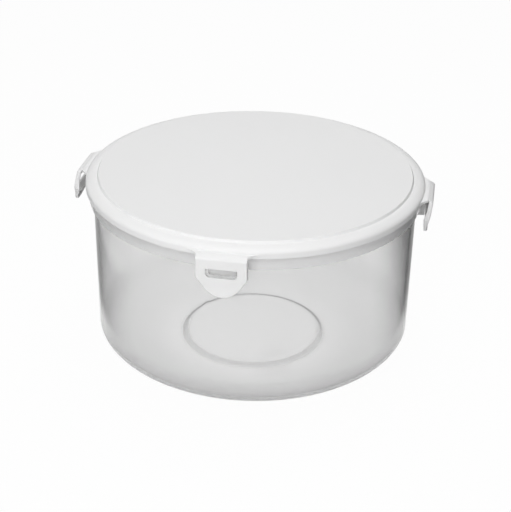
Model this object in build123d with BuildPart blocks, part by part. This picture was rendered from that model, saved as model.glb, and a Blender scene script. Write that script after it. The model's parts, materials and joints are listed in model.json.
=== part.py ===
"""Round food storage container for proofing dough: a clear tub with a bowl-shaped bottom,
a lid with four snap latches hinged on its rim, and the lid's seal.

Millimetres. The origin is the centre of the standing face, +Z points up, and the front latch is on -Y.
"""
from build123d import *
import math
import os

os.makedirs("parts", exist_ok=True)

# Driving dimensions
lid_radius = 140.0          # outside of the lid's skirt
lid_edge = 147.2            # height of the lid's lower edge above the table
lid_height = 9.5            # lid's lower edge to the raised middle of the lid
tub_wall = 2.5              # side wall of the tub
floor_wall = 3.0            # floor of the tub
lid_wall = 2.0              # top and skirt of the lid
latch_width = 38.8          # one latch, along the rim
latch_length = 34.2         # hinge line to the tip
latch_depth = 3.6           # hinge line to the outermost point of the bowed face
latch_skin = 1.5            # outer skin of a latch
running_gap = 0.3           # between pieces that move past each other
latch_count = 4

# Tub
wall_inset_share = 0.0436                       # wall behind the skirt, of the lid radius
wall_radius = lid_radius * (1 - wall_inset_share)
inner_radius = wall_radius - tub_wall
foot_share = 0.457                              # start of the bowl curve, of the lid radius
foot_radius = lid_radius * foot_share
bowl_share = 0.152                              # height of the bowl curve, of the lid edge height
bowl_height = lid_edge * bowl_share
foot_ring = 0.75 * floor_wall                   # width of the flat ring that the tub stands on
foot_lift = 0.3 * floor_wall                    # middle of the floor, raised inside the ring
lift_slope = 0.85 * floor_wall                  # soft step between the ring and the middle
rim_rise = 1.12 * tub_wall                      # rim above the lid's lower edge
rim_rounding = 0.32 * tub_wall
collar_radius = lid_radius - lid_wall - 2.3 * running_gap
collar_wall = 0.56 * tub_wall
collar_rise = 0.4 * tub_wall                    # collar above the lid's lower edge
collar_drop = 0.31 * latch_length               # collar below the lid's lower edge
collar_rounding = 0.32 * collar_wall

# Lid
skirt_share = 0.378                             # upright part of the skirt, of the lid height
skirt_top = lid_edge + skirt_share * lid_height
shoulder_share = 0.068                          # width of the elliptical shoulder, of the lid radius
shoulder_radius = lid_radius * (1 - shoulder_share)
step_height = 0.19 * lid_height                 # raised middle of the lid
step_radius = shoulder_radius - 0.6 * lid_wall
shoulder_top = lid_edge + lid_height - step_height
roof = shoulder_top - 1.25 * lid_wall
plug_radius = inner_radius - 1.7 * running_gap
plug_wall = 0.9 * lid_wall
plug_drop = 2 * lid_wall                        # plug below the lid's lower edge
keeper_radius = wall_radius + 0.44 * tub_wall   # inside of the rib that keeps the seal
keeper_wall = 0.6 * lid_wall
keeper_height = lid_edge + rim_rise - 0.5 * tub_wall

# Seal
seal_side_gap = 0.7 * running_gap
seal_inner = plug_radius + seal_side_gap
seal_outer = keeper_radius - seal_side_gap
seal_bottom = lid_edge + rim_rise + running_gap
bead_radius = 0.2 * tub_wall
bead_spread = 0.26 * tub_wall                   # each bead's middle from the middle of the rim

# Latch hinge line and its ledge on the lid
ledge_thickness = lid_wall
ledge_top = skirt_top
knuckle_radius = 0.3 * latch_skin               # round bead on the hinge line
hinge_height = ledge_top - 0.6 * ledge_thickness
hinge_reach = lid_radius + 1.17 * latch_depth
ledge_reach = hinge_reach - knuckle_radius - running_gap
ledge_chamfer = 0.4 * ledge_thickness
flare_share = 0.76                              # flare on each side, of the latch width
flare_end = latch_width * flare_share

# Latch
straight_side = 0.51 * latch_length
tip_radius = 0.42 * latch_width
corner_radius = 0.08 * latch_width
cheek_wall = 1.1 * latch_skin
edge_rounding = 0.75 * latch_skin
tip_inset = 0.34 * latch_depth                  # back of the latch at the tip, outside the hinge line
cheek_inset = 0.4 * latch_depth                 # deepest point of the back, inside the hinge line
cheek_station = 0.52 * latch_length
slot_width = 0.616 * latch_width
slot_top = 0.262 * latch_length
slot_bottom = 0.49 * latch_length
slot_corner = 0.054 * latch_width
crown_radius = 0.6 * latch_depth                # rounded top of the face
lip_flare = 0.42                                # outward slope of the face at the tip
face_shares = [                                 # face down the latch: depth (of the depth), station (of the length)
    (1.0, 0.25),
    (0.97, 0.4),
    (0.86, 0.555),
    (0.74, 0.73),
    (0.83, 0.88),
    (1.22, 1.0),
]
closed_lean = -6.0                              # degrees, inwards
loose_lean = 13.0                               # degrees, the left latch hangs outwards

# Catch block of the tub, one behind each slot
catch_width = 0.54 * latch_width
catch_reach = hinge_reach - 0.86 * latch_depth
catch_top = lid_edge - 0.3 * latch_depth
catch_bottom = lid_edge - 0.42 * latch_length
catch_wall = 0.8 * tub_wall
catch_rounding = 0.32 * tub_wall
overrun = 5.0                                   # how far cutting tools run past a face

azimuths = [360 / latch_count * i for i in range(latch_count)]


def reach_at(radius, offset):
    """Distance of a circle's edge along the latch axis, at a sideways offset."""
    return math.sqrt(radius ** 2 - offset ** 2)


# Tub: one revolved shell with a bowl-shaped bottom, on a flat ring round a raised middle
with BuildPart() as container:
    with BuildSketch(Plane.XZ):
        with BuildLine():
            bowl_centre = (foot_radius, bowl_height)
            lift_start = foot_radius - foot_ring
            lift_end = lift_start - lift_slope
            Line((0, foot_lift), (lift_end, foot_lift))
            Spline((lift_end, foot_lift), (lift_start, 0), tangents=((1, 0), (1, 0)))
            Line((lift_start, 0), (foot_radius, 0))
            EllipticalCenterArc(
                bowl_centre, wall_radius - foot_radius, bowl_height, start_angle=270, arc_size=90
            )
            Polyline(
                (wall_radius, bowl_height),
                (wall_radius, lid_edge + rim_rise),
                (inner_radius, lid_edge + rim_rise),
                (inner_radius, bowl_height),
            )
            EllipticalCenterArc(
                bowl_centre,
                inner_radius - foot_radius,
                bowl_height - floor_wall,
                start_angle=270,
                arc_size=90,
            )
            Line((foot_radius, floor_wall), (lift_start, floor_wall))
            dish_end = lift_start - 5 * lift_slope
            Spline(
                (lift_start, floor_wall),
                (dish_end, floor_wall + foot_lift),
                tangents=((-1, 0), (-1, 0)),
            )
            Polyline((dish_end, floor_wall + foot_lift), (0, floor_wall + foot_lift), (0, foot_lift))
        make_face()
    revolve(axis=Axis.Z)
    rim_edges = container.edges().group_by(Axis.Z)[-1]
    fillet(rim_edges, rim_rounding)

    # Collar below the lid's skirt, open underneath
    with BuildSketch(Plane.XZ):
        with BuildLine():
            Polyline(
                (wall_radius - tub_wall / 2, lid_edge + collar_rise - collar_wall),
                (wall_radius - tub_wall / 2, lid_edge + collar_rise),
                (collar_radius, lid_edge + collar_rise),
                (collar_radius, lid_edge - collar_drop),
                (collar_radius - collar_wall, lid_edge - collar_drop),
                (collar_radius - collar_wall, lid_edge + collar_rise - collar_wall),
                close=True,
            )
        make_face()
    revolve(axis=Axis.Z)
    collar_edges = container.edges().filter_by(GeomType.CIRCLE).filter_by(
        lambda e: abs(e.radius - collar_radius) < running_gap / 10
    )
    fillet(collar_edges, collar_rounding)

    # Catch blocks, each a hollow hook with the channel running on behind its face
    with BuildSketch(Plane.XY.offset(catch_bottom)):
        with PolarLocations(0, latch_count, start_angle=-90):
            with Locations(((wall_radius - tub_wall / 2 + catch_reach) / 2, 0)):
                Rectangle(catch_reach - wall_radius + tub_wall / 2, catch_width)
    extrude(amount=catch_top - catch_bottom)
    catch_edges = container.edges().filter_by(Axis.Z).filter_by(
        lambda e: math.hypot(e.center().X, e.center().Y) > catch_reach - running_gap
        and abs(e.length - (catch_top - catch_bottom)) < running_gap
    )
    fillet(catch_edges, catch_rounding)
    with BuildSketch(Plane.XY.offset(catch_bottom - overrun)) as catch_core:
        with PolarLocations(0, latch_count, start_angle=-90):
            with Locations(((wall_radius + catch_reach - 1.5 * catch_wall) / 2, 0)):
                Rectangle(catch_reach - 1.5 * catch_wall - wall_radius, catch_width - 2 * catch_wall)
        Circle(wall_radius, mode=Mode.SUBTRACT)
    extrude(amount=catch_top - catch_wall - catch_bottom + overrun, mode=Mode.SUBTRACT)
container.part.label = "container"


# Plan of one ledge: square to the rim at its end, flared into the skirt on both sides
with BuildSketch() as ledge_outline:
    with BuildLine():
        flare_reach = reach_at(lid_radius, flare_end)
        ledge_back = flare_reach - 2 * lid_wall
        TangentArc(
            (flare_reach, flare_end),
            (ledge_reach, latch_width / 2),
            tangent=(flare_end, -flare_reach),
        )
        Line((ledge_reach, latch_width / 2), (ledge_reach, -latch_width / 2))
        TangentArc(
            (flare_reach, -flare_end),
            (ledge_reach, -latch_width / 2),
            tangent=(flare_end, flare_reach),
        )
        Polyline(
            (flare_reach, -flare_end),
            (ledge_back, -flare_end),
            (ledge_back, flare_end),
            (flare_reach, flare_end),
        )
    make_face()


# Lid: upright skirt, elliptical shoulder, raised middle, plug inside the tub and the rib that keeps the seal
with BuildPart() as lid:
    with BuildSketch(Plane.XZ):
        with BuildLine():
            pocket_corner = roof - skirt_top
            Polyline(
                (0, lid_edge + lid_height - lid_wall),
                (0, lid_edge + lid_height),
                (step_radius, lid_edge + lid_height),
                (shoulder_radius, shoulder_top),
            )
            EllipticalCenterArc(
                (shoulder_radius, skirt_top),
                lid_radius - shoulder_radius,
                shoulder_top - skirt_top,
                start_angle=0,
                arc_size=90,
            )
            Polyline(
                (lid_radius, skirt_top),
                (lid_radius, lid_edge),
                (lid_radius - lid_wall, lid_edge),
                (lid_radius - lid_wall, skirt_top),
            )
            RadiusArc(
                (lid_radius - lid_wall, skirt_top),
                (lid_radius - lid_wall - pocket_corner, roof),
                -pocket_corner,
            )
            Polyline(
                (lid_radius - lid_wall - pocket_corner, roof),
                (plug_radius, roof),
                (plug_radius, lid_edge - plug_drop),
                (plug_radius - plug_wall, lid_edge - plug_drop),
                (plug_radius - plug_wall, lid_edge + lid_height - lid_wall),
                (0, lid_edge + lid_height - lid_wall),
            )
        make_face()
        keeper_top = roof + lid_wall / 2
        with Locations((keeper_radius + keeper_wall / 2, (keeper_top + keeper_height) / 2)):
            Rectangle(keeper_wall, keeper_top - keeper_height)
    revolve(axis=Axis.Z)

    # Ledges that carry the latches, flared into the rim
    with BuildSketch(Plane.XY.offset(ledge_top - ledge_thickness)):
        with PolarLocations(0, latch_count, start_angle=-90):
            add(ledge_outline.sketch)
        Circle(lid_radius - lid_wall / 2, mode=Mode.SUBTRACT)
    extrude(amount=ledge_thickness)
    ledge_ends = lid.edges().filter_by(
        lambda e: abs(e.center().Z - ledge_top) < running_gap / 10
        and abs(e.length - latch_width) < running_gap
        and math.hypot(e.center().X, e.center().Y) > ledge_reach - running_gap
    )
    chamfer(ledge_ends, ledge_chamfer)
lid.part.label = "lid"


# Seal: a flat ring with two beads that rest on the tub's rim
with BuildPart() as gasket:
    with BuildSketch(Plane.XZ):
        with Locations(((seal_inner + seal_outer) / 2, (seal_bottom + bead_radius + roof) / 2)):
            Rectangle(seal_outer - seal_inner, roof - seal_bottom - bead_radius)
        bead_middle = (inner_radius + wall_radius) / 2
        with Locations(
            (bead_middle - bead_spread, seal_bottom + bead_radius),
            (bead_middle + bead_spread, seal_bottom + bead_radius),
        ):
            Circle(bead_radius)
    revolve(axis=Axis.Z)
gasket.part.label = "gasket"


def depth_profile(skin, back):
    """Side view of a latch: bowed face set in by a skin, and a back that is deepest behind the slot."""
    with BuildSketch(Plane.YZ.offset(-latch_width / 2)) as profile:
        with BuildLine():
            crown_front = skin - 0.95 * latch_depth
            face = [(crown_front, -crown_radius)] + [
                (skin - depth * latch_depth, -station * latch_length) for depth, station in face_shares
            ]
            Line((back, 0), (crown_front + crown_radius, 0))
            RadiusArc((crown_front + crown_radius, 0), face[0], -crown_radius)
            Spline(*face, tangents=((0, -1), (-lip_flare, -1)))
            Polyline(
                face[-1],
                (back - tip_inset, -latch_length),
                (back + cheek_inset, -cheek_station),
                (back, -slot_top),
                (back, 0),
            )
        make_face()
    return profile.sketch


# Plan of a latch: straight sides, then flanks that run into a round tip
with BuildSketch() as latch_plan:
    with Locations((0, -straight_side / 2)):
        Rectangle(latch_width, straight_side)
    with Locations((0, tip_radius - latch_length)):
        Circle(tip_radius)
    make_hull()
    shoulders = latch_plan.vertices().group_by(Axis.Y)[-2]
    fillet(shoulders, corner_radius)

outer_profile = depth_profile(0, 0)
hollow_profile = depth_profile(latch_skin, overrun)

# Latch in its own frame: hinge line on X, outwards is -Y, hanging down along -Z
with BuildPart() as hollow:
    add(hollow_profile)
    extrude(amount=latch_width, dir=(1, 0, 0))
    with BuildSketch(Plane.XZ.offset(-latch_depth - overrun)):
        add(latch_plan.sketch)
        offset(amount=-cheek_wall, mode=Mode.REPLACE)
    extrude(amount=2 * (latch_depth + overrun), mode=Mode.INTERSECT)

with BuildPart() as latch:
    add(outer_profile)
    extrude(amount=latch_width, dir=(1, 0, 0))
    with BuildSketch(Plane.XZ.offset(-latch_depth - overrun)):
        add(latch_plan.sketch)
    extrude(amount=2 * (latch_depth + overrun), mode=Mode.INTERSECT)
    bowed_face = latch.faces().sort_by(Axis.Y)[0]
    outline_edges = bowed_face.edges().sort_by(Axis.Z)[:-1]
    fillet(outline_edges, edge_rounding)
    add(hollow.part, mode=Mode.SUBTRACT)
    with BuildSketch(Plane.XZ.offset(-latch_depth - overrun)):
        with BuildLine():
            Polyline(
                (-slot_width / 2, -slot_top),
                (slot_width / 2, -slot_top),
                (slot_width / 2, slot_corner - slot_bottom),
                (slot_width / 2 - slot_corner, -slot_bottom),
                (slot_corner - slot_width / 2, -slot_bottom),
                (-slot_width / 2, slot_corner - slot_bottom),
                close=True,
            )
        make_face()
    extrude(amount=2 * (latch_depth + overrun), mode=Mode.SUBTRACT)
    Cylinder(knuckle_radius, latch_width - 2 * running_gap, rotation=(0, 90, 0))

latches = []
leans = {"latch_front": closed_lean, "latch_right": closed_lean, "latch_back": closed_lean, "latch_left": loose_lean}
for azimuth, (name, lean) in zip(azimuths, leans.items()):
    turned = Location((0, 0, 0), (0, 0, azimuth)) * Location((0, -hinge_reach, hinge_height), (-lean, 0, 0))
    with BuildPart() as placed:
        with Locations(turned):
            add(latch.part)
    placed.part.label = name
    latches.append(placed.part)

export_step(container.part, "parts/container.step")
export_step(lid.part, "parts/lid.step")
export_step(gasket.part, "parts/gasket.step")
for piece in latches:
    export_step(piece, f"parts/{piece.label}.step")
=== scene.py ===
"""Dough proofing container: a clear polycarbonate tub, a white polypropylene lid with four flap
latches on film hinges, and a silicone seal, in a plain photo studio.
"""

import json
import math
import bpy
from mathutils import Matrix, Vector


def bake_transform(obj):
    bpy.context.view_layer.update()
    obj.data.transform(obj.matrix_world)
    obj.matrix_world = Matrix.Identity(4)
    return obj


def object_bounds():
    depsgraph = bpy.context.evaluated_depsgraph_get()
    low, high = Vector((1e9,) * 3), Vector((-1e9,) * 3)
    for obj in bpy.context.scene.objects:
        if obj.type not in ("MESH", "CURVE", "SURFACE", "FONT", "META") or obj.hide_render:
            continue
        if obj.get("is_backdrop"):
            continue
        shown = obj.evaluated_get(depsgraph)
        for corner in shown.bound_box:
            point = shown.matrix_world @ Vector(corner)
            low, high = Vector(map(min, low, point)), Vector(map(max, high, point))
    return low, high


bl_info = {
    "name": "Dough proofing container",
    "version": (1, 0, 0),
    "blender": (4, 5, 0),
    "location": "View3D > Sidebar > Proofing tub",
    "description": "Finishes, film hinges, camera and studio for a round dough tub",
    "category": "Object",
}

import bmesh
import bpy
from mathutils import Matrix, Vector

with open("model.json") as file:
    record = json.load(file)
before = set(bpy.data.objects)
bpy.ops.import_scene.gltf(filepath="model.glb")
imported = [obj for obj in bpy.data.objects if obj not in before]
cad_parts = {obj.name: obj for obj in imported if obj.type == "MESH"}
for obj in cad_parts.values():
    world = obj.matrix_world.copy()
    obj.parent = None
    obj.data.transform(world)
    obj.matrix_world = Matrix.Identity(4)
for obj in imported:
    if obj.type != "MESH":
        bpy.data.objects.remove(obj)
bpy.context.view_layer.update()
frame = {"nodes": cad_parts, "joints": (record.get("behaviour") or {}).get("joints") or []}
LATCHES = ("latch_front", "latch_right", "latch_back", "latch_left")
# Top of a film hinge in millimetres, outwards and up from the hinge line: from under the ledge's top, over its
# bevelled edge and down to the latch's rounded crown. The left latch hangs loose, so its crown stands higher.
WEB_CLOSED = (
    (-2.6, 1.1),
    (-2.1, 1.22),
    (-1.5, 1.22),
    (-0.9, 1.05),
    (-0.3, 0.78),
    (0.3, 0.5),
    (0.9, 0.22),
    (1.5, -0.06),
    (2.0, -0.33),
    (2.4, -0.64),
    (2.65, -0.93),
)
WEB_LOOSE = (
    (-2.6, 1.1),
    (-2.1, 1.22),
    (-1.5, 1.22),
    (-0.9, 1.08),
    (-0.3, 0.88),
    (0.3, 0.7),
    (0.9, 0.55),
    (1.5, 0.43),
    (2.1, 0.32),
    (2.5, 0.2),
    (2.85, -0.05),
)
# Rounded ends of a film hinge: distance from its end, in thicknesses, and share of the full thickness there
WEB_END = ((0.0, 0.3), (0.5, 0.8), (1.5, 1.0))

# Where the tub's look changes, in metres from its axis: from wall to frosted collar, from collar to catch blocks, and
# from the foot's step to the bowl curve, which is painted greyer as shade
COLLAR = (0.1345, 0.1355)
BLOCKS = (0.139, 0.1396)
PAINTED_SHADE_CURVE = (0.064, 0.07)
# Haze of the floor: distance from the axis and share of the foot's haze, or of the bowl's haze and painted shade
FOOT_HAZE = ((0.054, 0.0), (0.0577, 1.0), (0.062, 1.0), (0.0655, 0.0))
BOWL_HAZE_AND_SHADE = ((0.068, 0.0), (0.092, 0.45), (0.118, 0.65), (0.13, 1.0))
# Heights between which the floor's haze and painted shade grow downwards and the wall's painted light outline grows
# upwards
HAZE_AND_SHADE_HEIGHTS = (0.036, 0.014)
OUTLINE_HEIGHTS = (0.03, 0.06)
# Places on the Y axis between which the haze and painted shade grow towards the front
HAZE_AND_SHADE_FRONT = (0.06, -0.06)
# Share of a turn away from the camera between which a wall starts to show its painted light outline
OUTLINE_FACING = (0.815, 0.84)
# Greys of the light that the walls let through to what is behind them, and of the plastic's own depth, sRGB hex
THROUGH_TINT = "E1E1E1"
DEPTH_TINT = "C8C8C8"
# A little under real polycarbonate and close to polypropylene
PLASTIC_IOR = 1.49
SILICONE_IOR = 1.41
# Noise features in each metre: waves of the walls, grain and clouds of the white plastic, bloom of the silicone
WAVES = 25.0
GRAINS = 830.0
CLOUDS = 17.0
BLOOMS = 60.0
# Part of the cloud noise that changes the gloss, and how far the roughness goes down and up with it
CLOUD_LEVELS = (0.3, 0.7)
GLOSS_SPREAD = (-0.04, 0.05)
# Roughness of silicone from clean to dusty
BLOOM_ROUGHNESS = (0.42, 0.6)

# Dark flags at the sides of the tub: place from left to right, of their distance, and light that comes from there
FLAGS = ((-1.0, 0.7), (-0.85, 0.25), (-0.6, 0.25), (-0.5, 1.0), (0.47, 1.0), (0.62, 0.04))
# Start and end of the flags towards the camera, as shares of the same distance
FLAG_START = 0.1
FLAG_END = -0.3
# Soft boxes: place and size in metres, and the point that both light
LAMP_AIM = (0.0, 0.0, 0.08)
OVERHEAD_PLACE = (0.0, 0.15, 1.3)
OVERHEAD_SIZE = (0.8, 0.8)
FRONT_PLACE = (-0.15, -1.5, 1.0)
FRONT_SIZE = (1.3, 1.6)
# Floor: half its width, and its depth under the tub's foot
FLOOR_REACH = 4.0
FLOOR_DEPTH = 0.0002
WHITE = (1, 1, 1, 1)
# Camera film width in millimetres, and the picture's longer side in pixels
FILM_WIDTH = 36
PICTURE_SIZE = 512


def linear(hex_colour):
    """An sRGB hex colour as linear RGBA."""
    channels = [int(hex_colour[i : i + 2], 16) / 255 for i in (0, 2, 4)]
    return tuple(c / 12.92 if c <= 0.04045 else ((c + 0.055) / 1.055) ** 2.4 for c in channels) + (1.0,)


def add_node(tree, kind, settings=None, inputs=None):
    """A node with its settings, and each input set to a value or linked from a socket."""
    node = tree.nodes.new(kind)
    for key, value in (settings or {}).items():
        setattr(node, key, value)
    for key, value in (inputs or {}).items():
        if isinstance(value, bpy.types.NodeSocket):
            tree.links.new(value, node.inputs[key])
        else:
            node.inputs[key].default_value = value
    return node


def new_material(name):
    """An empty node material and its output node."""
    material = bpy.data.materials.new(name)
    material.use_nodes = True
    material.node_tree.nodes.clear()
    output = add_node(material.node_tree, "ShaderNodeOutputMaterial")
    return material, material.node_tree, output


def set_stops(ramp, stops):
    """Gives a colour ramp grey stops of place and level."""
    ramp.elements.remove(ramp.elements[1])
    ramp.elements[0].position = stops[0][0]
    for place, level in stops[1:]:
        ramp.elements.new(place)
    for stop, (place, level) in zip(ramp.elements, stops):
        stop.color = (level, level, level, 1.0)


def tub_haze_and_shade(tub):
    """Stops of the floor's haze and painted shade: distance from the axis over the overall reach, and share of the
    collar's frost.
    """
    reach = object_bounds()[1].x
    foot = [(place / reach, share * tub.foot_haze) for place, share in FOOT_HAZE]
    bowl = [(place / reach, share * tub.bowl_haze_and_shade) for place, share in BOWL_HAZE_AND_SHADE]
    return foot + bowl


def clear_polycarbonate(tub):
    """Injection-moulded clear polycarbonate: glassy, a little grey in the thickness."""
    material, tree, output = new_material("clear moulded polycarbonate")
    coordinates = add_node(tree, "ShaderNodeTexCoord")
    # A moulded wall is never quite flat: waves some 40 mm long bend what shows through it
    waves = add_node(
        tree,
        "ShaderNodeTexNoise",
        inputs={"Vector": coordinates.outputs["Object"], "Scale": WAVES, "Detail": 1.0},
    )
    bump = add_node(
        tree,
        "ShaderNodeBump",
        inputs={"Strength": 0.03, "Distance": 0.0006, "Height": waves.outputs["Fac"]},
    )
    # The collar and the catch blocks stand outside the wall and keep the mould's grain, so they look frosted
    axes = add_node(tree, "ShaderNodeSeparateXYZ", inputs={0: coordinates.outputs["Object"]})
    flat = add_node(
        tree, "ShaderNodeCombineXYZ", inputs={"X": axes.outputs["X"], "Y": axes.outputs["Y"], "Z": 0.0}
    )
    radius = add_node(tree, "ShaderNodeVectorMath", {"operation": "LENGTH"}, {0: flat.outputs["Vector"]})
    frost = add_node(
        tree,
        "ShaderNodeMapRange",
        inputs={"Value": radius.outputs["Value"], "From Min": COLLAR[0], "From Max": COLLAR[1]},
    )
    # Near the floor the step of the foot and the bowl curve are hazy too; the same mask paints shade on the bowl
    # curve
    share = add_node(
        tree, "ShaderNodeMath", {"operation": "DIVIDE"}, {0: radius.outputs["Value"], 1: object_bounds()[1].x}
    )
    hazy = add_node(tree, "ShaderNodeValToRGB", inputs={"Fac": share.outputs[0]})
    set_stops(hazy.color_ramp, tub_haze_and_shade(tub))
    low = add_node(
        tree,
        "ShaderNodeMapRange",
        inputs={"Value": axes.outputs["Z"], "From Min": HAZE_AND_SHADE_HEIGHTS[0], "From Max": HAZE_AND_SHADE_HEIGHTS[1]},
    )
    # There is more of this haze and painted shade towards the front than at the back
    near = add_node(
        tree,
        "ShaderNodeMapRange",
        inputs={
            "Value": axes.outputs["Y"],
            "From Min": HAZE_AND_SHADE_FRONT[0],
            "From Max": HAZE_AND_SHADE_FRONT[1],
            "To Min": tub.back_haze_and_shade,
        },
    )
    low_front = add_node(
        tree, "ShaderNodeMath", {"operation": "MULTIPLY"}, {0: low.outputs["Result"], 1: near.outputs["Result"]}
    )
    base = add_node(
        tree, "ShaderNodeMath", {"operation": "MULTIPLY"}, {0: hazy.outputs["Color"], 1: low_front.outputs[0]}
    )
    frosted = add_node(
        tree, "ShaderNodeMath", {"operation": "MAXIMUM"}, {0: base.outputs[0], 1: frost.outputs["Result"]}
    )
    # Painted shade: the bowl curve is painted greyer, for the shadow under the tub seen through it; the foot's step
    # is not
    outer = add_node(
        tree,
        "ShaderNodeMapRange",
        inputs={"Value": radius.outputs["Value"], "From Min": PAINTED_SHADE_CURVE[0], "From Max": PAINTED_SHADE_CURVE[1]},
    )
    grey = add_node(
        tree, "ShaderNodeMath", {"operation": "MULTIPLY"}, {0: base.outputs[0], 1: outer.outputs["Result"]}
    )
    tone = add_node(
        tree,
        "ShaderNodeMix",
        {"data_type": "RGBA"},
        {0: grey.outputs[0], 6: linear(tub.tint), 7: linear(tub.painted_shade_tint)},
    )
    haze = add_node(
        tree,
        "ShaderNodeMapRange",
        inputs={"Value": frosted.outputs[0], "To Min": tub.roughness, "To Max": tub.frost_roughness},
    )
    clarity = add_node(
        tree,
        "ShaderNodeMapRange",
        inputs={"Value": frosted.outputs[0], "To Min": tub.clarity, "To Max": tub.frost_clarity},
    )
    # The catch blocks are thick, so less light passes them
    block = add_node(
        tree,
        "ShaderNodeMapRange",
        inputs={
            "Value": radius.outputs["Value"],
            "From Min": BLOCKS[0],
            "From Max": BLOCKS[1],
            "To Max": tub.block_milk,
        },
    )
    passing = add_node(
        tree,
        "ShaderNodeMath",
        {"operation": "SUBTRACT"},
        {0: clarity.outputs["Result"], 1: block.outputs["Result"]},
    )
    plastic = add_node(
        tree,
        "ShaderNodeBsdfPrincipled",
        inputs={
            "Base Color": tone.outputs[2],
            "Roughness": haze.outputs["Result"],
            "IOR": PLASTIC_IOR,
            "Transmission Weight": passing.outputs[0],
            "Normal": bump.outputs["Normal"],
        },
    )
    # Light reaches the inside through the walls, so shadow rays pass, a little dimmed
    clear = add_node(tree, "ShaderNodeBsdfTransparent", inputs={"Color": linear(THROUGH_TINT)})
    ray = add_node(tree, "ShaderNodeLightPath")
    wall = add_node(
        tree,
        "ShaderNodeMixShader",
        inputs={0: ray.outputs["Is Shadow Ray"], 1: plastic.outputs["BSDF"], 2: clear.outputs["BSDF"]},
    )
    # Painted light band: along the outline of the straight wall the camera sees straight through the wall to the
    # background
    facing = add_node(tree, "ShaderNodeLayerWeight", inputs={"Blend": 0.5})
    straight = add_node(
        tree,
        "ShaderNodeMapRange",
        inputs={
            "Value": axes.outputs["Z"],
            "From Min": OUTLINE_HEIGHTS[0],
            "From Max": OUTLINE_HEIGHTS[1],
            "To Max": tub.edge_light,
        },
    )
    outline = add_node(
        tree,
        "ShaderNodeMapRange",
        inputs={
            "Value": facing.outputs["Facing"],
            "From Min": OUTLINE_FACING[0],
            "From Max": OUTLINE_FACING[1],
            "To Max": straight.outputs["Result"],
        },
    )
    # What goes in straight also comes out straight
    straight_on = add_node(
        tree,
        "ShaderNodeMath",
        {"operation": "MAXIMUM"},
        {0: outline.outputs["Result"], 1: ray.outputs["Transparent Depth"]},
    )
    seen = add_node(
        tree,
        "ShaderNodeMath",
        {"operation": "MULTIPLY"},
        {0: straight_on.outputs[0], 1: ray.outputs["Is Camera Ray"]},
    )
    edge = add_node(tree, "ShaderNodeBsdfTransparent")
    edged = add_node(
        tree,
        "ShaderNodeMixShader",
        inputs={0: seen.outputs[0], 1: wall.outputs["Shader"], 2: edge.outputs["BSDF"]},
    )
    tree.links.new(edged.outputs["Shader"], output.inputs["Surface"])
    # The plastic greys what is seen through its thickness, most at the edges of the tub
    depth = add_node(
        tree,
        "ShaderNodeVolumeAbsorption",
        inputs={"Color": linear(DEPTH_TINT), "Density": tub.density},
    )
    tree.links.new(depth.outputs["Volume"], output.inputs["Volume"])
    return material


def white_polypropylene(finish):
    """Injection-moulded white polypropylene: satin, with a fine grain from the mould and light in its edges."""
    material, tree, output = new_material("white moulded polypropylene")
    coordinates = add_node(tree, "ShaderNodeTexCoord")
    # Spark-eroded grain of about 1.2 mm, drawn coarser than the real 0.3 mm so that it shows
    grain = add_node(
        tree,
        "ShaderNodeTexNoise",
        inputs={"Vector": coordinates.outputs["Object"], "Scale": GRAINS, "Detail": 2.0},
    )
    # Flow marks and handling: soft clouds some 60 mm across change the gloss
    clouds = add_node(
        tree,
        "ShaderNodeTexNoise",
        inputs={"Vector": coordinates.outputs["Object"], "Scale": CLOUDS, "Detail": 2.0},
    )
    gloss = add_node(
        tree,
        "ShaderNodeMapRange",
        inputs={
            "Value": clouds.outputs["Fac"],
            "From Min": CLOUD_LEVELS[0],
            "From Max": CLOUD_LEVELS[1],
            "To Min": finish.roughness + GLOSS_SPREAD[0],
            "To Max": finish.roughness + GLOSS_SPREAD[1],
        },
    )
    bump = add_node(
        tree,
        "ShaderNodeBump",
        inputs={"Strength": 0.12, "Distance": 0.00008, "Height": grain.outputs["Fac"]},
    )
    plastic = add_node(
        tree,
        "ShaderNodeBsdfPrincipled",
        inputs={
            "Base Color": linear(finish.colour),
            "Roughness": gloss.outputs["Result"],
            "IOR": PLASTIC_IOR,
            "Specular IOR Level": 0.3,
            "Subsurface Weight": 0.15,
            "Subsurface Radius": (1.0, 1.0, 0.95),
            "Subsurface Scale": 0.002,
            "Normal": bump.outputs["Normal"],
        },
    )
    tree.links.new(plastic.outputs["BSDF"], output.inputs["Surface"])
    return material


def silicone(seal):
    """Moulded silicone rubber: translucent milky white and matt, with a dusty bloom."""
    material, tree, output = new_material("translucent silicone rubber")
    coordinates = add_node(tree, "ShaderNodeTexCoord")
    bloom = add_node(
        tree,
        "ShaderNodeTexNoise",
        inputs={"Vector": coordinates.outputs["Object"], "Scale": BLOOMS, "Detail": 3.0},
    )
    matt = add_node(
        tree,
        "ShaderNodeMapRange",
        inputs={"Value": bloom.outputs["Fac"], "To Min": BLOOM_ROUGHNESS[0], "To Max": BLOOM_ROUGHNESS[1]},
    )
    rubber = add_node(
        tree,
        "ShaderNodeBsdfPrincipled",
        inputs={
            "Base Color": linear(seal.colour),
            "Roughness": matt.outputs["Result"],
            "IOR": SILICONE_IOR,
            "Subsurface Weight": 0.4,
            "Subsurface Scale": 0.003,
        },
    )
    tree.links.new(rubber.outputs["BSDF"], output.inputs["Surface"])
    return material


def dress_node(name, material):
    """Gives a CAD node its finish."""
    mesh = frame["nodes"][name].data
    mesh.materials.clear()
    mesh.materials.append(material)
    for polygon in mesh.polygons:
        polygon.material_index = 0


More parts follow.
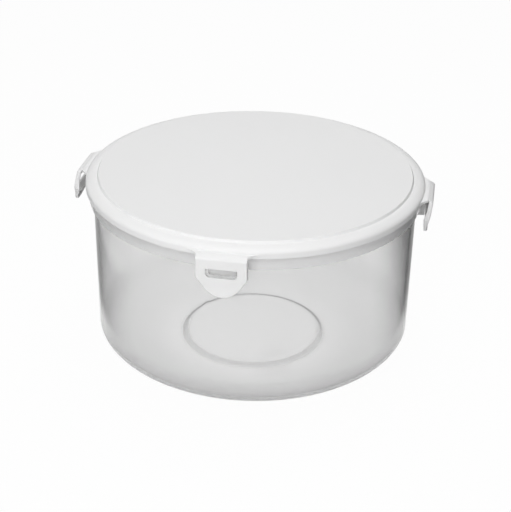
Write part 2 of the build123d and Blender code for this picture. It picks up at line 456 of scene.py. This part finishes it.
def film_hinge(joint, section, web, material):
    """A thin web over the gap between a ledge of the lid and its latch."""
    pivot = Vector(joint["pos_m"])
    outward = Vector((pivot.x, pivot.y, 0)).normalized()
    up = Vector((0, 0, 1))
    along = outward.cross(up)
    half_thickness = Vector((0, web.thickness / 2))
    middles = [Vector(point) / 1000 - half_thickness for point in section]
    # Each row of points has its place along the hinge and its share of the thickness
    end = [(web.width / 2 - inset * web.thickness, share) for inset, share in WEB_END]
    rows = [(-place, share) for place, share in end] + end[::-1]
    shape = bmesh.new()
    loops = []
    for place, share in rows:
        outline = [middle + share * half_thickness for middle in middles]
        outline += [middle - share * half_thickness for middle in reversed(middles)]
        loops.append([shape.verts.new(pivot + out * outward + rise * up + place * along) for out, rise in outline])
    for one, other in zip(loops, loops[1:]):
        for index in range(len(one)):
            after = (index + 1) % len(one)
            shape.faces.new((one[index], one[after], other[after], other[index]))
    for loop in (loops[0], loops[-1]):
        for index in range(len(section) - 1):
            last = len(loop) - 1 - index
            shape.faces.new((loop[index], loop[index + 1], loop[last - 1], loop[last]))
    bmesh.ops.recalc_face_normals(shape, faces=shape.faces)
    name = joint["child"].replace("latch", "film_hinge")
    mesh = bpy.data.meshes.new(name)
    shape.to_mesh(mesh)
    shape.free()
    mesh.polygons.foreach_set("use_smooth", [True] * len(mesh.polygons))
    mesh.materials.append(material)
    piece = bpy.data.objects.new(name, mesh)
    bpy.context.scene.collection.objects.link(piece)
    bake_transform(piece)


class TubSettings(bpy.types.PropertyGroup):
    """The clear tub."""

    tint: bpy.props.StringProperty(name="Tint", description="Colour of the clear plastic, sRGB hex", default="F8F8F8")
    # Painted shade: the grey painted on the bowl curve near the floor
    painted_shade_tint: bpy.props.StringProperty(
        name="Painted shade tint", description="Colour of the hazy parts near the floor, sRGB hex", default="CCCCCC"
    )
    roughness: bpy.props.FloatProperty(
        name="Roughness", description="Haze of the moulded surface", default=0.04, min=0.0, max=1.0
    )
    clarity: bpy.props.FloatProperty(
        name="Clarity", description="Share of light that passes the walls", default=0.92, min=0.0, max=1.0
    )
    frost_roughness: bpy.props.FloatProperty(
        name="Frost", description="Haze of the collar and catch blocks", default=0.4, min=0.0, max=1.0
    )
    frost_clarity: bpy.props.FloatProperty(
        name="Frost clarity", description="Share of light that passes the collar", default=0.78, min=0.0, max=1.0
    )
    foot_haze: bpy.props.FloatProperty(
        name="Foot haze", description="Haze of the foot's step, of the collar's", default=1.0, min=0.0, max=1.0
    )
    # Also sets how strong the painted shade on the bowl curve is
    bowl_haze_and_shade: bpy.props.FloatProperty(
        name="Bowl haze and shade", description="Haze of the bowl curve, of the collar's", default=0.6, min=0.0, max=1.0
    )
    # Painted light: how much background the camera sees straight through along the outline
    edge_light: bpy.props.FloatProperty(
        name="Edge light", description="Background that shows along the outline", default=0.55, min=0.0, max=1.0
    )
    block_milk: bpy.props.FloatProperty(
        name="Block milk", description="Light that the catch blocks hold back", default=0.4, min=0.0, max=0.78
    )
    # Also sets how much painted shade the back keeps
    back_haze_and_shade: bpy.props.FloatProperty(
        name="Back haze and shade", description="Haze of the floor's back, of the front's", default=0.35, min=0.0, max=1.0
    )
    density: bpy.props.FloatProperty(
        name="Density", description="Greyness of the plastic's thickness, per metre", default=50.0, min=0.0
    )


class LidSettings(bpy.types.PropertyGroup):
    """The white lid and latches."""

    colour: bpy.props.StringProperty(
        name="Colour", description="Colour of the white plastic, sRGB hex", default="F0F0F0"
    )
    roughness: bpy.props.FloatProperty(
        name="Roughness", description="Satin finish of the white plastic", default=0.5, min=0.0, max=1.0
    )


class WebSettings(bpy.types.PropertyGroup):
    """The film hinges between the lid and its latches."""

    width: bpy.props.FloatProperty(name="Width", description="Along the hinge line", default=0.0384, unit="LENGTH")
    thickness: bpy.props.FloatProperty(
        name="Thickness", description="Of the thin web", default=0.00045, unit="LENGTH"
    )
    bend: bpy.props.FloatProperty(
        name="Bend", description="Width of the strip that bends, across the hinge line", default=0.0015, unit="LENGTH"
    )


class SealSettings(bpy.types.PropertyGroup):
    """The seal ring."""

    colour: bpy.props.StringProperty(name="Colour", description="Colour of the silicone, sRGB hex", default="E2E4E4")


class StudioSettings(bpy.types.PropertyGroup):
    """Camera and lamps."""

    azimuth: bpy.props.FloatProperty(
        name="Azimuth", description="Camera's turn from the front latch", default=math.radians(9.35), subtype="ANGLE"
    )
    pitch: bpy.props.FloatProperty(
        name="Pitch", description="Camera's angle above the horizon", default=0.49437, subtype="ANGLE"
    )
    roll: bpy.props.FloatProperty(
        name="Roll", description="Camera's turn about its own axis", default=0.01816, subtype="ANGLE"
    )
    distance: bpy.props.FloatProperty(
        name="Distance", description="Camera to the lid's middle along the view", default=0.98289, unit="LENGTH"
    )
    side_offset: bpy.props.FloatProperty(
        name="Side offset", description="Camera to the right of the tub's axis", default=0.00113, unit="LENGTH"
    )
    rise_offset: bpy.props.FloatProperty(
        name="Rise offset", description="Camera's offset up in its own picture", default=-0.06401, unit="LENGTH"
    )
    target_height: bpy.props.FloatProperty(
        name="Target height", description="Lid's lower edge above the table", default=0.1472, unit="LENGTH"
    )
    focal_px: bpy.props.FloatProperty(
        name="Focal length", description="In pixels of a 511 by 512 picture", default=1182.64
    )
    key: bpy.props.FloatProperty(name="Overhead lamp", description="Power in watts", default=7.7, unit="POWER")
    fill: bpy.props.FloatProperty(name="Front lamp", description="Power in watts", default=20.5, unit="POWER")
    world: bpy.props.FloatProperty(name="World light", description="Strength of the room's light", default=0.12)
    flag_distance: bpy.props.FloatProperty(
        name="Flag distance", description="Half the width that the dark flags share out", default=0.3, unit="LENGTH"
    )
    paper: bpy.props.FloatProperty(name="Paper", description="Lightness of the floor's paper", default=0.85)
    glow_through: bpy.props.FloatProperty(
        name="Glow through", description="Plain white of the floor through clear plastic", default=0.45
    )
    floor_glow: bpy.props.FloatProperty(
        name="Floor glow", description="Share of plain white in the floor; the rest shows the shadow", default=0.97
    )


class PROOFING_OT_tub(bpy.types.Operator):
    """Clear plastic on the tub"""

    bl_idname = "proofing.tub"
    bl_label = "Clear tub"

    def execute(self, context):
        dress_node("container", clear_polycarbonate(context.scene.proofing_tub))
        return {"FINISHED"}


class PROOFING_OT_lid(bpy.types.Operator):
    """White plastic on the lid and its latches"""

    bl_idname = "proofing.lid"
    bl_label = "White lid and latches"

    def execute(self, context):
        material = white_polypropylene(context.scene.proofing_lid)
        for name in ("lid",) + LATCHES:
            dress_node(name, material)
        return {"FINISHED"}


class PROOFING_OT_webs(bpy.types.Operator):
    """Film hinges from the lid's ledges to the latches"""

    bl_idname = "proofing.webs"
    bl_label = "Film hinges"

    def execute(self, context):
        material = frame["nodes"]["lid"].data.materials[0]
        for joint in frame["joints"]:
            if joint["child"] in LATCHES:
                section = WEB_LOOSE if joint["child"] == "latch_left" else WEB_CLOSED
                film_hinge(joint, section, context.scene.proofing_web, material)
        return {"FINISHED"}


class PROOFING_OT_seal(bpy.types.Operator):
    """Silicone on the seal ring"""

    bl_idname = "proofing.seal"
    bl_label = "Seal"

    def execute(self, context):
        dress_node("gasket", silicone(context.scene.proofing_seal))
        return {"FINISHED"}


def room_light(tree, vector, studio, reach):
    """Light that comes from a place or direction: full in front and behind, less from the flags at the sides."""
    sine, cosine = math.sin(studio.azimuth), math.cos(studio.azimuth)
    side = add_node(
        tree, "ShaderNodeVectorMath", {"operation": "DOT_PRODUCT"}, {0: vector, 1: (cosine, sine, 0.0)}
    )
    share = add_node(
        tree,
        "ShaderNodeMapRange",
        inputs={"Value": side.outputs["Value"], "From Min": -reach, "From Max": reach},
    )
    flags = add_node(tree, "ShaderNodeValToRGB", inputs={"Fac": share.outputs["Result"]})
    flags.color_ramp.interpolation = "EASE"
    set_stops(flags.color_ramp, [((1 + place) / 2, level) for place, level in FLAGS])
    # The flags stand beside and behind the tub, and the room in front of them is light
    ahead = add_node(
        tree, "ShaderNodeVectorMath", {"operation": "DOT_PRODUCT"}, {0: vector, 1: (-sine, cosine, 0.0)}
    )
    front = add_node(
        tree,
        "ShaderNodeMapRange",
        inputs={"Value": ahead.outputs["Value"], "From Min": FLAG_START * reach, "From Max": FLAG_END * reach},
    )
    light = add_node(
        tree,
        "ShaderNodeMath",
        {"operation": "MAXIMUM"},
        {0: flags.outputs["Color"], 1: front.outputs["Result"]},
    )
    return light.outputs[0]


def area_lamp(name, place, aim, size, power):
    """A soft box at place, pointing at aim."""
    lamp = bpy.data.lights.new(name, "AREA")
    lamp.shape = "RECTANGLE"
    lamp.size, lamp.size_y = size
    lamp.energy = power
    holder = bpy.data.objects.new(name, lamp)
    bpy.context.scene.collection.objects.link(holder)
    holder.location = place
    holder.rotation_euler = (Vector(aim) - Vector(place)).to_track_quat("-Z", "Y").to_euler()


class PROOFING_OT_stage(bpy.types.Operator):
    """White floor, room light, soft boxes and the camera"""

    bl_idname = "proofing.stage"
    bl_label = "Studio"

    def execute(self, context):
        studio = context.scene.proofing_studio
        context.scene.view_settings.view_transform = "Standard"
        self.floor(studio)
        self.world(studio)
        area_lamp("overhead soft box", OVERHEAD_PLACE, LAMP_AIM, OVERHEAD_SIZE, studio.key)
        area_lamp("front soft box", FRONT_PLACE, LAMP_AIM, FRONT_SIZE, studio.fill)
        self.camera(studio)
        return {"FINISHED"}

    def floor(self, studio):
        """A white table top that keeps the tub's shadow and shows white to the camera."""
        material, tree, output = new_material("white paper sweep")
        # White to the camera, through clear plastic and in its gloss, where the dark flags show too
        ray = add_node(tree, "ShaderNodeLightPath")
        place = add_node(tree, "ShaderNodeTexCoord")
        room = room_light(tree, place.outputs["Object"], studio, studio.flag_distance)
        tone = add_node(
            tree, "ShaderNodeMath", {"operation": "MAXIMUM"}, {0: ray.outputs["Is Camera Ray"], 1: room}
        )
        glow = add_node(
            tree, "ShaderNodeEmission", inputs={"Color": WHITE, "Strength": tone.outputs[0]}
        )
        shade = add_node(
            tree, "ShaderNodeMath", {"operation": "MULTIPLY"}, {0: tone.outputs[0], 1: studio.paper}
        )
        paper = add_node(tree, "ShaderNodeBsdfDiffuse", inputs={"Color": shade.outputs[0]})
        through = add_node(
            tree,
            "ShaderNodeMath",
            {"operation": "MULTIPLY"},
            {0: ray.outputs["Is Transmission Ray"], 1: studio.glow_through},
        )
        indirect = add_node(
            tree,
            "ShaderNodeMath",
            {"operation": "MAXIMUM"},
            {0: through.outputs[0], 1: ray.outputs["Is Glossy Ray"]},
        )
        shown = add_node(
            tree,
            "ShaderNodeMath",
            {"operation": "MAXIMUM"},
            {0: ray.outputs["Is Camera Ray"], 1: indirect.outputs[0]},
        )
        share = add_node(
            tree, "ShaderNodeMath", {"operation": "MULTIPLY"}, {0: shown.outputs[0], 1: studio.floor_glow}
        )
        mix = add_node(
            tree,
            "ShaderNodeMixShader",
            inputs={0: share.outputs[0], 1: paper.outputs["BSDF"], 2: glow.outputs["Emission"]},
        )
        tree.links.new(mix.outputs["Shader"], output.inputs["Surface"])
        mesh = bpy.data.meshes.new("floor")
        shape = bmesh.new()
        bmesh.ops.create_grid(shape, x_segments=8, y_segments=8, size=FLOOR_REACH)
        shape.to_mesh(mesh)
        shape.free()
        floor = bpy.data.objects.new("floor", mesh)
        floor.location.z = -FLOOR_DEPTH
        mesh.materials.append(material)
        bpy.context.scene.collection.objects.link(floor)
        floor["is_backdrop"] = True

    def world(self, studio):
        """Soft room light, white where the camera or clear plastic looks past the floor."""
        world = bpy.data.worlds.new("studio room")
        world.use_nodes = True
        tree = world.node_tree
        tree.nodes.clear()
        ray = add_node(tree, "ShaderNodeLightPath")
        direction = add_node(tree, "ShaderNodeTexCoord")
        room = room_light(tree, direction.outputs["Generated"], studio, 1.0)
        indirect = add_node(
            tree,
            "ShaderNodeMath",
            {"operation": "MAXIMUM"},
            {0: ray.outputs["Is Transmission Ray"], 1: ray.outputs["Is Glossy Ray"]},
        )
        level = add_node(
            tree,
            "ShaderNodeMapRange",
            inputs={"Value": indirect.outputs[0], "To Min": studio.world, "To Max": 1.0},
        )
        lit = add_node(
            tree, "ShaderNodeMath", {"operation": "MULTIPLY"}, {0: level.outputs["Result"], 1: room}
        )
        strength = add_node(
            tree,
            "ShaderNodeMath",
            {"operation": "MAXIMUM"},
            {0: lit.outputs[0], 1: ray.outputs["Is Camera Ray"]},
        )
        sky = add_node(
            tree,
            "ShaderNodeBackground",
            inputs={"Color": WHITE, "Strength": strength.outputs[0]},
        )
        add_node(tree, "ShaderNodeOutputWorld", inputs={"Surface": sky.outputs["Background"]})
        bpy.context.scene.world = world

    def camera(self, studio):
        """The photograph's viewpoint."""
        turn = Matrix.Rotation(studio.azimuth, 4, "Z")
        sine, cosine = math.sin(studio.pitch), math.cos(studio.pitch)
        right = Vector((1, 0, 0))
        up = Vector((0, sine, cosine))
        ahead = Vector((0, cosine, -sine))
        place = studio.side_offset * right - studio.distance * ahead + studio.rise_offset * up
        place.z += studio.target_height
        rolled_right = math.cos(studio.roll) * right + math.sin(studio.roll) * up
        rolled_up = math.cos(studio.roll) * up - math.sin(studio.roll) * right
        pose = Matrix((rolled_right, rolled_up, -ahead)).transposed().to_4x4()
        pose.translation = place
        camera = bpy.data.cameras.new("camera")
        camera.lens = FILM_WIDTH * studio.focal_px / PICTURE_SIZE
        camera.clip_start = 0.05
        camera.clip_end = 30
        holder = bpy.data.objects.new("camera", camera)
        holder.matrix_world = turn @ pose
        bpy.context.scene.collection.objects.link(holder)
        bpy.context.scene.camera = holder


class PROOFING_PT_panel(bpy.types.Panel):
    """The pieces of the proofing tub, in the order they are made"""

    bl_label = "Proofing tub"
    bl_idname = "PROOFING_PT_panel"
    bl_space_type = "VIEW_3D"
    bl_region_type = "UI"
    bl_category = "Proofing tub"

    def draw(self, context):
        for operator in OPERATORS:
            self.layout.operator(operator.bl_idname)
        for name in SETTINGS:
            settings = getattr(context.scene, name)
            box = self.layout.box()
            for key in settings.bl_rna.properties.keys():
                if key not in {"rna_type", "name"}:
                    box.prop(settings, key)


SETTINGS = {
    "proofing_tub": TubSettings,
    "proofing_lid": LidSettings,
    "proofing_web": WebSettings,
    "proofing_seal": SealSettings,
    "proofing_studio": StudioSettings,
}
OPERATORS = (PROOFING_OT_tub, PROOFING_OT_lid, PROOFING_OT_webs, PROOFING_OT_seal, PROOFING_OT_stage)


def register():
    for cls in tuple(SETTINGS.values()) + OPERATORS + (PROOFING_PT_panel,):
        bpy.utils.register_class(cls)
    for name, cls in SETTINGS.items():
        setattr(bpy.types.Scene, name, bpy.props.PointerProperty(type=cls))


def unregister():
    for name in SETTINGS:
        delattr(bpy.types.Scene, name)
    for cls in reversed(tuple(SETTINGS.values()) + OPERATORS + (PROOFING_PT_panel,)):
        bpy.utils.unregister_class(cls)


def main():
    register()
    bpy.ops.proofing.tub()
    bpy.ops.proofing.lid()
    bpy.ops.proofing.webs()
    bpy.ops.proofing.seal()
    bpy.ops.proofing.stage()


if __name__ == "__main__":
    main()
